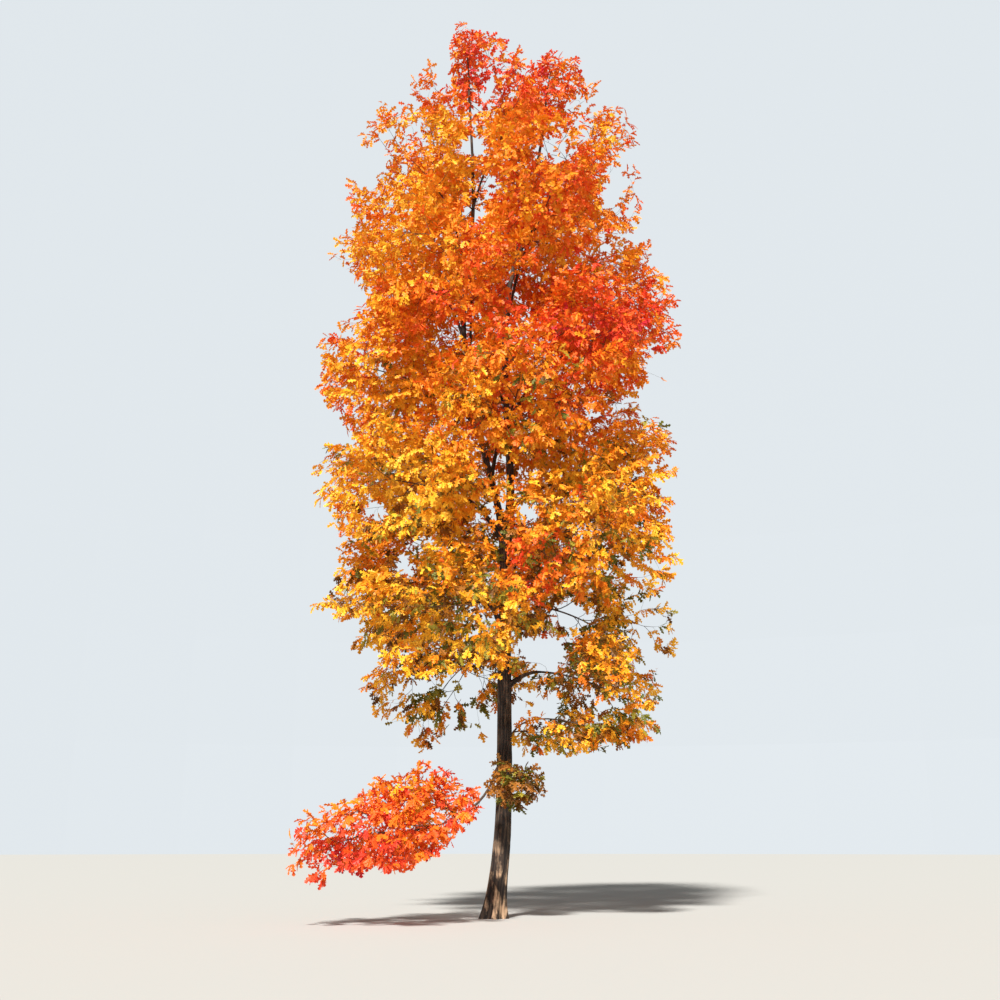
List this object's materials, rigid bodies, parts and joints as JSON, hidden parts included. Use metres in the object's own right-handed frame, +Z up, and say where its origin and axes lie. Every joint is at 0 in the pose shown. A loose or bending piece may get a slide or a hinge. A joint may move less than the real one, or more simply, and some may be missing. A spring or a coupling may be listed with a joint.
{
  "type": "northern red oak",
  "caption": "Tall whole oak tree in autumn leaf: flared trunk, second stem, rising boughs and layered masses of orange, scarlet and amber foliage.",
  "frame": {"origin": "centre of the flat cut under the trunk, at ground level", "axes": "+Z up along the tree's height, +X to the right and +Y away for someone facing its front"},
  "size_m": [8.9347, 8.71, 23.6964],
  "materials": {
    "bark": "matt grey-brown bark, long smooth ridges between shallow dark furrows",
    "twig": "smooth dark brown twig bark",
    "leaf_crimson": "thin autumn leaf, satin above and matt below",
    "leaf_scarlet": "thin autumn leaf, satin above and matt below",
    "leaf_vermilion": "thin autumn leaf, satin above and matt below",
    "leaf_orange": "thin autumn leaf, satin above and matt below",
    "leaf_amber": "thin autumn leaf, satin above and matt below",
    "leaf_gold": "thin autumn leaf, satin above and matt below",
    "leaf_olive": "thin autumn leaf, satin above and matt below",
    "leaf_brown": "thin autumn leaf, satin above and matt below"
  },
  "bodies": {
    "root": {"trunk": "bark", "second_stem": "bark", "bough_01": "bark", "bough_02": "bark", "bough_03": "bark", "bough_04": "bark", "bough_05": "bark", "bough_06": "bark", "bough_07": "bark", "bough_08": "bark", "bough_09": "bark", "bough_10": "bark", "bough_11": "bark", "bough_12": "bark", "bough_13": "bark", "bough_14": "bark", "bough_15": "bark", "bough_16": "bark", "bough_17": "bark", "bough_18": "bark", "bough_19": "bark", "bough_20": "bark", "bough_21": "bark", "bough_22": "bark", "bough_23": "bark", "bough_24": "bark", "bough_25": "bark", "bough_low_sweep": "bark", "bough_low_right": "bark", "bough_low_layer": "bark", "foliage_01": "leaf_amber", "foliage_02": "leaf_amber", "foliage_03": "leaf_amber", "foliage_04": "leaf_amber", "foliage_05": "leaf_amber", "foliage_low_right": "leaf_amber", "foliage_low_layer": "leaf_amber", "foliage_06": "leaf_orange", "foliage_07": "leaf_orange", "foliage_08": "leaf_orange", "foliage_09": "leaf_orange", "foliage_10": "leaf_orange", "foliage_11": "leaf_orange", "foliage_12": "leaf_orange", "foliage_13": "leaf_orange", "foliage_14": "leaf_orange", "foliage_15": "leaf_vermilion", "foliage_16": "leaf_vermilion", "foliage_17": "leaf_vermilion", "foliage_18": "leaf_vermilion", "foliage_19": "leaf_vermilion", "foliage_20": "leaf_vermilion", "foliage_21": "leaf_vermilion", "foliage_22": "leaf_vermilion", "foliage_23": "leaf_vermilion", "foliage_24": "leaf_vermilion", "foliage_25": "leaf_vermilion", "foliage_top_left": "leaf_vermilion", "foliage_top_right": "leaf_vermilion", "foliage_low_sweep": "leaf_scarlet"}
  },
  "joints": []
}
